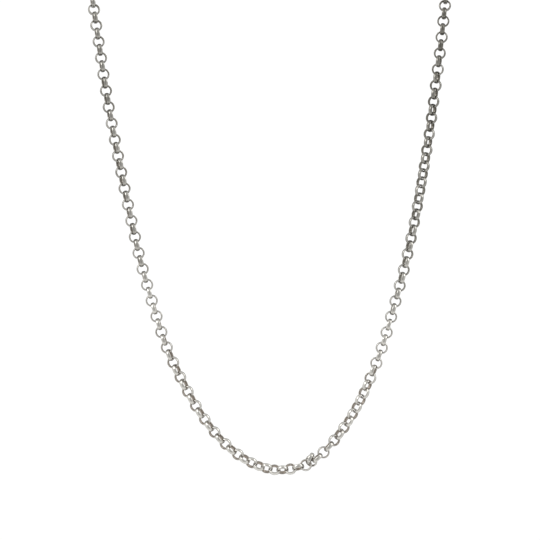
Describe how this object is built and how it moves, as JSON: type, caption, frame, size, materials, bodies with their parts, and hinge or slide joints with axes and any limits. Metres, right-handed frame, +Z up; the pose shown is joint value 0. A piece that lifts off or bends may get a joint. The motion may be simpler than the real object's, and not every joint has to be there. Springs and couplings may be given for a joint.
{
  "type": "rolo chain necklace",
  "caption": "Closed loop of equal round rolo links from domed half-round wire, hanging from the neck as a front U with a small kink, closed by a plain ring clasp at the nape.",
  "frame": {"origin": "middle of the nape, where the inner side of the chain's back bears on the neck and it hangs from there", "axes": "+Z up, +X to the viewer's right and the wearer's left, the chain's front towards -Y"},
  "size_m": [0.1271, 0.1102, 0.1875],
  "materials": {
    "links": "polished silver-tone metal with darker, brownish recesses where the links pass through each other",
    "clasp": "polished silver-tone metal"
  },
  "bodies": {
    "root": {"chain_left": "links", "chain_right": "links", "clasp": "clasp"}
  },
  "joints": []
}
